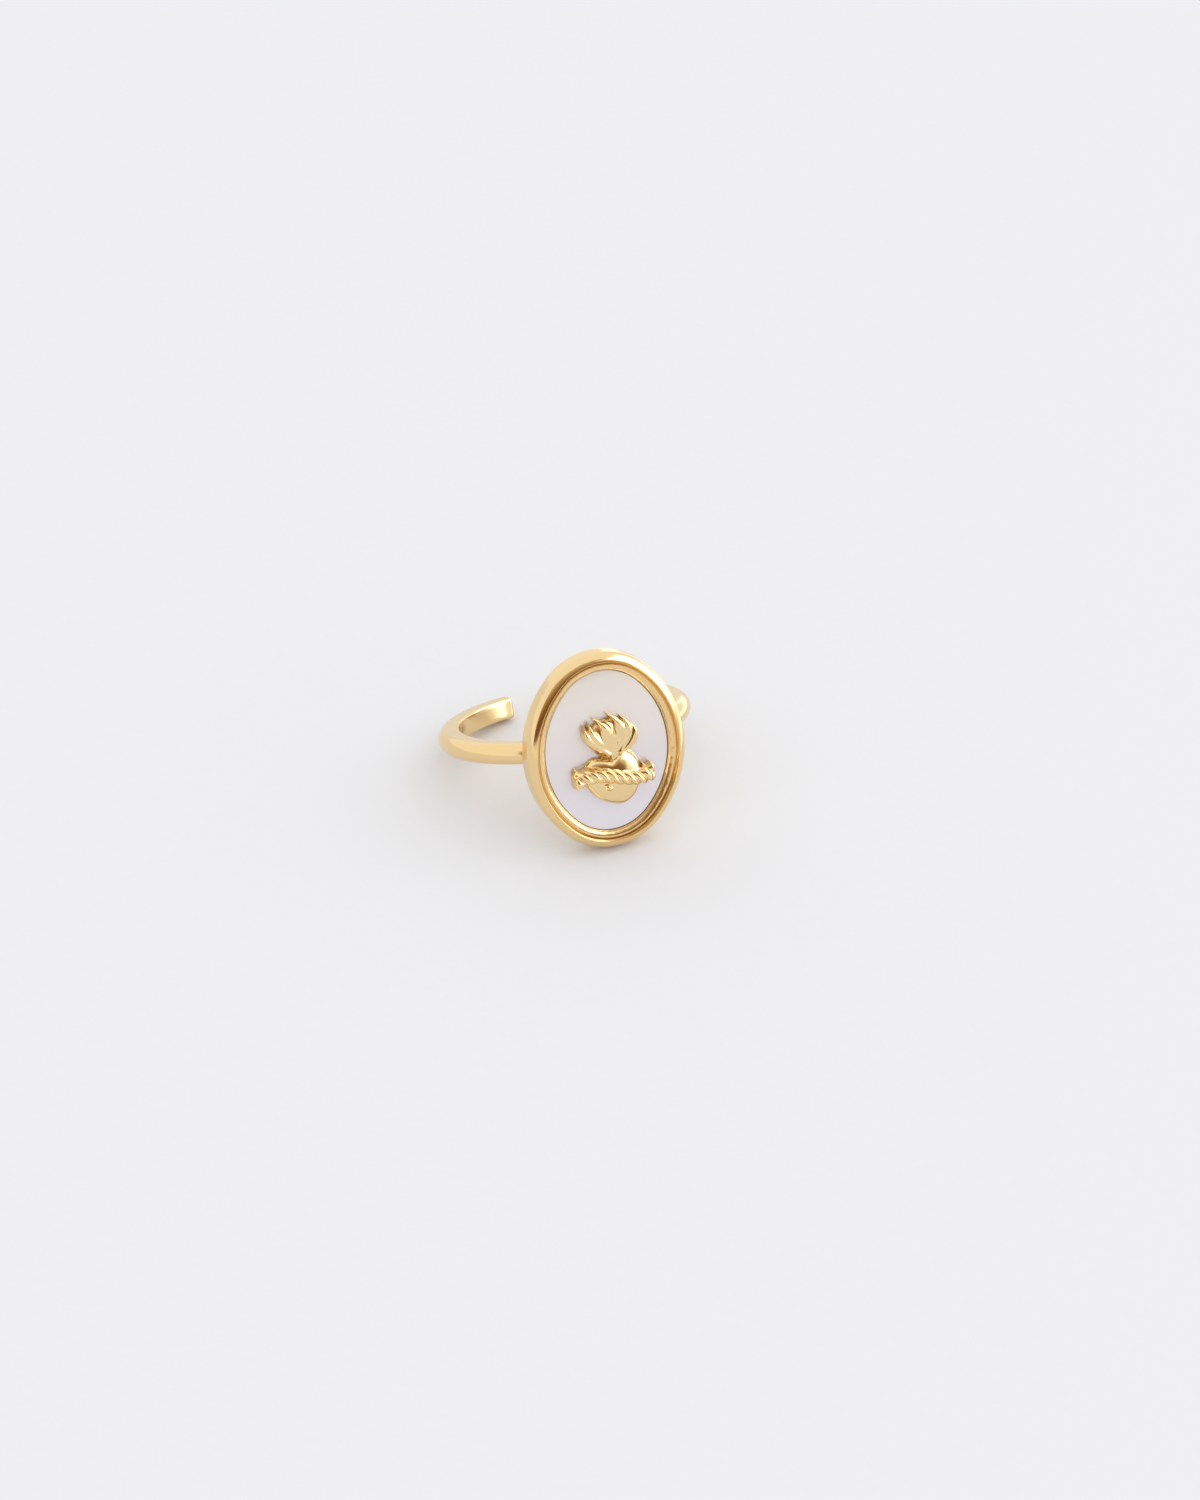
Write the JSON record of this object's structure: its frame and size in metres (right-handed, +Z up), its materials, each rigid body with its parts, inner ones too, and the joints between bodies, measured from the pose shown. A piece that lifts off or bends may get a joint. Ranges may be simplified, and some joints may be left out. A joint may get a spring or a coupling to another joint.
{
  "type": "adjustable ring",
  "caption": "Open adjustable ring with a half-round gold-plated band and an oval bezel that holds a pale shell inlay under a cast flaming heart.",
  "frame": {"origin": "on the surface that the ring lies on, under the middle of its box", "axes": "+Z up from the surface, -Y the way the head faces, X across the head, with the open ends of the band at +Y"},
  "size_m": [0.0206, 0.0218, 0.0158],
  "materials": {
    "plated_metal": "polished pale gold plating",
    "shell": "polished white mother-of-pearl",
    "cast_relief": "cast, pale gold plating"
  },
  "bodies": {
    "root": {"band_and_bezel": "plated_metal", "shell_inlay": "shell", "flaming_heart": "cast_relief"}
  },
  "joints": []
}
